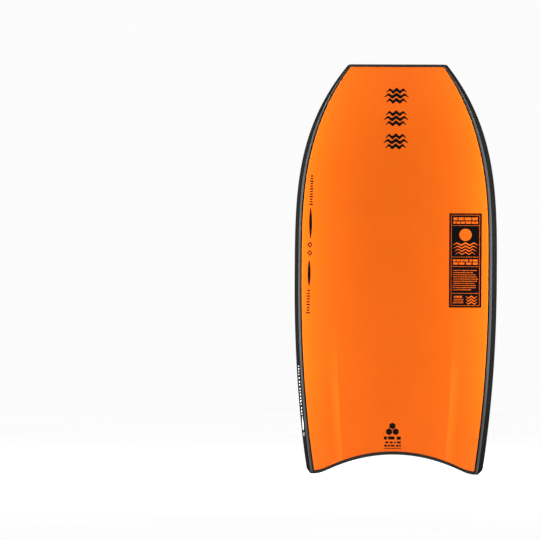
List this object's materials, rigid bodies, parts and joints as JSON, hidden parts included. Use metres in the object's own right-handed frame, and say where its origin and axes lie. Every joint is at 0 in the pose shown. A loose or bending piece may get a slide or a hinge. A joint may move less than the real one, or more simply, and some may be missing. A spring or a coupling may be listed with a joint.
{
  "type": "bodyboard",
  "caption": "Foam bodyboard with a flat nose, crescent tail, 60/40 rails, glossy channelled slick and matte foam deck, around a foam core with a tube stringer.",
  "frame": {"origin": "centre of the bounding box's bottom face, where the board stands on its two tail points", "axes": "+Z from tail to nose, +Y out of the slick (the bottom that planes on the water), -Y out of the deck (where the rider lies), +X to the rider's right"},
  "size_m": [0.5272, 0.081, 1.0667],
  "materials": {
    "core_foam": "beaded polypropylene foam",
    "plug_foam": "closed-cell polyethylene foam",
    "stringer_composite": "wrapped carbon and glass fibre, satin",
    "cap_plastic": "moulded, fine matte",
    "slick_film": "satin ionomer film, orange",
    "backing_foam": "thin closed-cell polyethylene foam sheet",
    "mesh_netting": "woven polymer netting",
    "deck_foam": "textured closed-cell polyethylene foam, matte black",
    "rail_foam": "skived closed-cell foam, dark grey",
    "lower_rail_foam": "skived closed-cell foam, dark grey",
    "strip_foam": "skived closed-cell foam, dark grey",
    "print_black": "screen-printed ink, black",
    "print_orange": "screen-printed ink, orange",
    "print_white": "pad-printed ink, white"
  },
  "bodies": {
    "root": {"core": "core_foam", "stringer_tube": "stringer_composite", "stringer_cap_tail": "cap_plastic", "stringer_cap_nose": "cap_plastic", "stringer_plug": "plug_foam", "slick_skin": "slick_film", "slick_backing": "backing_foam", "slick_mesh": "mesh_netting", "deck_mesh": "mesh_netting", "deck_skin": "deck_foam", "upper_rail_left": "rail_foam", "upper_rail_right": "rail_foam", "lower_rail_left": "lower_rail_foam", "lower_rail_right": "lower_rail_foam", "nose_strip": "strip_foam", "tail_strip": "strip_foam"}
  },
  "joints": []
}
